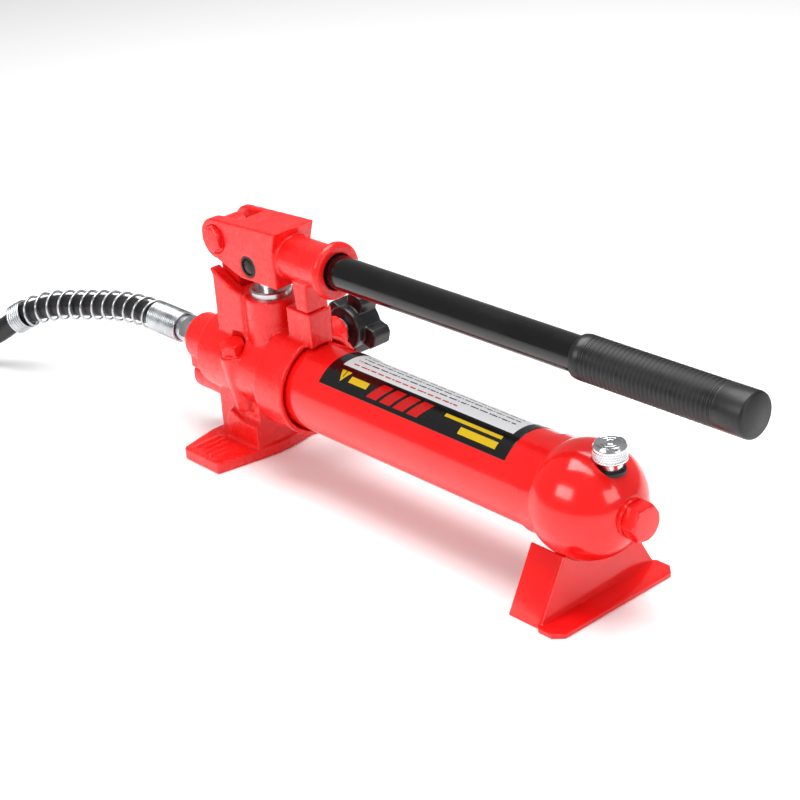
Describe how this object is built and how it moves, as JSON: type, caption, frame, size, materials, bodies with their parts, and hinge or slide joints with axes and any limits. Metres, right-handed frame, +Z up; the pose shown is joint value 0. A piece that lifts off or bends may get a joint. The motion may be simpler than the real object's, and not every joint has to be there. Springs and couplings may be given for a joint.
{
  "type": "hydraulic hand pump",
  "caption": "Single-acting hydraulic hand pump with a horizontal tank on two feet, a lever handle, a release valve and a high-pressure hose.",
  "frame": {"origin": "middle of the pump block's sole, on the floor", "axes": "+X from the pump block along the tank towards the handle's grip, +Z up, +Y to the side of the release knob"},
  "size_m": [0.9397, 0.234, 0.1745],
  "materials": {
    "red_gloss_paint": "gloss",
    "red_cast_paint": "gloss over rough casting",
    "label_film": "satin printed film",
    "black_gloss_paint": "gloss",
    "black_rubber": "matt",
    "hose_rubber": "satin",
    "zinc_plate": "satin plated",
    "blackened_steel": "satin",
    "ground_steel": "polished",
    "chrome_plate": "polished",
    "black_plastic": "satin",
    "orange_plastic": "gloss",
    "seal_rubber": "matt",
    "brass": "satin"
  },
  "bodies": {
    "pump": {"reservoir_tube": "red_gloss_paint", "front_tank_seal": "seal_rubber", "rear_tank_seal": "seal_rubber", "label_wrap": "label_film", "end_cap": "red_gloss_paint", "tie_bolt": "red_gloss_paint", "tie_bolt_washer": "red_gloss_paint", "rear_foot": "red_gloss_paint", "pump_body": "red_cast_paint", "plunger_seal": "seal_rubber", "gland_nut": "zinc_plate", "discharge_spring": "ground_steel", "side_plug": "red_cast_paint", "side_plug_washer": "red_cast_paint", "relief_spring": "ground_steel", "relief_screw": "blackened_steel", "relief_cap": "orange_plastic", "needle_packing": "seal_rubber", "packing_nut": "zinc_plate", "link_pin": "red_cast_paint", "link": "red_cast_paint", "hose": "hose_rubber", "hose_tail": "hose_rubber", "hose_coil": "hose_rubber", "spring_guard": "zinc_plate", "hose_adapter": "zinc_plate", "hose_nut": "zinc_plate", "near_ferrule": "zinc_plate", "far_ferrule": "zinc_plate", "coupler_body": "zinc_plate", "coupler_spring": "ground_steel", "suction_strainer": "brass"},
    "lever": {"lever_socket": "red_cast_paint", "fulcrum_bolt": "red_cast_paint", "fulcrum_washer": "red_cast_paint", "fulcrum_nut": "red_cast_paint", "plunger_pin": "blackened_steel", "pin_clips": "blackened_steel"},
    "plunger": {"plunger": "ground_steel"},
    "handle": {"handle_tube": "black_gloss_paint", "handle_grip": "black_rubber"},
    "needle": {"release_needle": "ground_steel"},
    "knob": {"release_knob": "black_plastic"},
    "cap_seal": {"filler_seal": "seal_rubber"},
    "cap": {"filler_cap": "chrome_plate"},
    "collar": {"coupler_collar": "zinc_plate"},
    "poppet": {"coupler_poppet": "ground_steel"},
    "suction_ball": {"suction_ball": "ground_steel"},
    "discharge_ball": {"discharge_ball": "ground_steel"},
    "relief_ball": {"relief_ball": "ground_steel"}
  },
  "joints": [
    {"name": "lever_swing", "type": "hinge", "parent": "pump", "child": "lever", "pos_m": [-0.0074, 0, 0.1559], "axis": [0, -1, 0], "range_deg": [0, 40]},
    {"name": "plunger_stroke", "type": "slide", "parent": "pump", "child": "plunger", "axis": [0, 0, 1], "range_m": [0, 0.0245]},
    {"name": "handle_pull", "type": "slide", "parent": "lever", "child": "handle", "axis": [0.9999, 0, 0.0164], "range_m": [0, 0.04]},
    {"name": "needle_travel", "type": "slide", "parent": "pump", "child": "needle", "axis": [0, 1, 0], "range_m": [0, 0.0025]},
    {"name": "knob_turn", "type": "hinge", "parent": "needle", "child": "knob", "pos_m": [0.049, 0.05, 0.086], "axis": [0, 1, 0], "range_deg": [0, 720]},
    {"name": "cap_seal_lift", "type": "slide", "parent": "pump", "child": "cap_seal", "axis": [0, 0, 1], "range_m": [0, 0.009]},
    {"name": "cap_turn", "type": "hinge", "parent": "cap_seal", "child": "cap", "pos_m": [0.331, 0, 0.1], "axis": [0, 0, 1], "range_deg": [0, 2160]},
    {"name": "collar_spin", "type": "hinge", "parent": "pump", "child": "collar", "pos_m": [-0.487, 0.047, 0.0152], "axis": [0, 1, 0], "continuous": true},
    {"name": "poppet_push", "type": "slide", "parent": "pump", "child": "poppet", "axis": [0, -1, 0], "range_m": [0, 0.0025], "stiffness_N_per_m": 600, "springref_m": -0.003},
    {"name": "suction_ball_lift", "type": "slide", "parent": "pump", "child": "suction_ball", "axis": [0, 0, 1], "range_m": [0, 0.001]},
    {"name": "discharge_ball_lift", "type": "slide", "parent": "pump", "child": "discharge_ball", "axis": [0, -0.1392, 0.9903], "range_m": [0, 0.001], "stiffness_N_per_m": 300, "springref_m": -0.003},
    {"name": "relief_ball_lift", "type": "slide", "parent": "pump", "child": "relief_ball", "axis": [0, 0, 1], "range_m": [0, 0.0005], "stiffness_N_per_m": 3000, "springref_m": -0.003}
  ],
  "couplings": [
    {"joint": "plunger_stroke", "follows": "lever_swing", "m_per_rad": 0.03471},
    {"joint": "knob_turn", "follows": "needle_travel", "rad_per_m": 5026.5},
    {"joint": "cap_turn", "follows": "cap_seal_lift", "rad_per_m": 4188.8}
  ]
}
